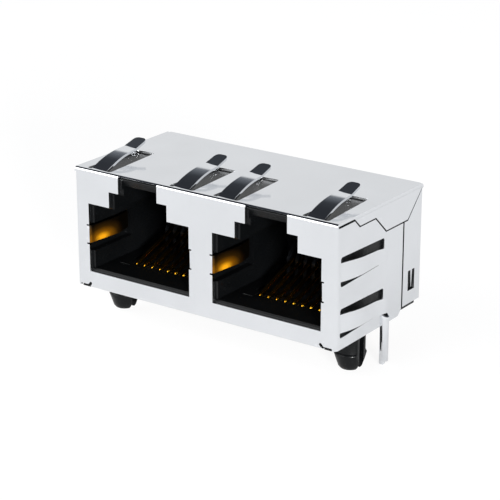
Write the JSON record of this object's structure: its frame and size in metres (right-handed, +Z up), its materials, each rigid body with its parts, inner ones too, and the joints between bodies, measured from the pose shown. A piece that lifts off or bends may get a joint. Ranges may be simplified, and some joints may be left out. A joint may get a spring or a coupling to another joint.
{
  "type": "two-port shielded modular jack",
  "caption": "Shielded modular jack for a circuit board: side-by-side ports with gold contacts, a folded sheet shield with ground fingers, and snap pegs.",
  "frame": {"origin": "midway between the two board pegs' axes, on the plane of the board's top face", "axes": "+X to the right seen from the ports, +Y into the jack, away from the plug, +Z up from the board"},
  "size_m": [0.034, 0.0158, 0.0188],
  "materials": {
    "shield": "bright nickel plate on rolled sheet",
    "housing": "moulded black",
    "carrier": "moulded black",
    "contact": "gold plate"
  },
  "bodies": {
    "root": {"shield": "shield", "housing": "housing", "contact_carrier_left": "carrier", "contact_carrier_right": "carrier", "contact_left_1": "contact", "contact_left_2": "contact", "contact_left_3": "contact", "contact_left_4": "contact", "contact_left_5": "contact", "contact_left_6": "contact", "contact_left_7": "contact", "contact_left_8": "contact", "contact_right_1": "contact", "contact_right_2": "contact", "contact_right_3": "contact", "contact_right_4": "contact", "contact_right_5": "contact", "contact_right_6": "contact", "contact_right_7": "contact", "contact_right_8": "contact"}
  },
  "joints": []
}
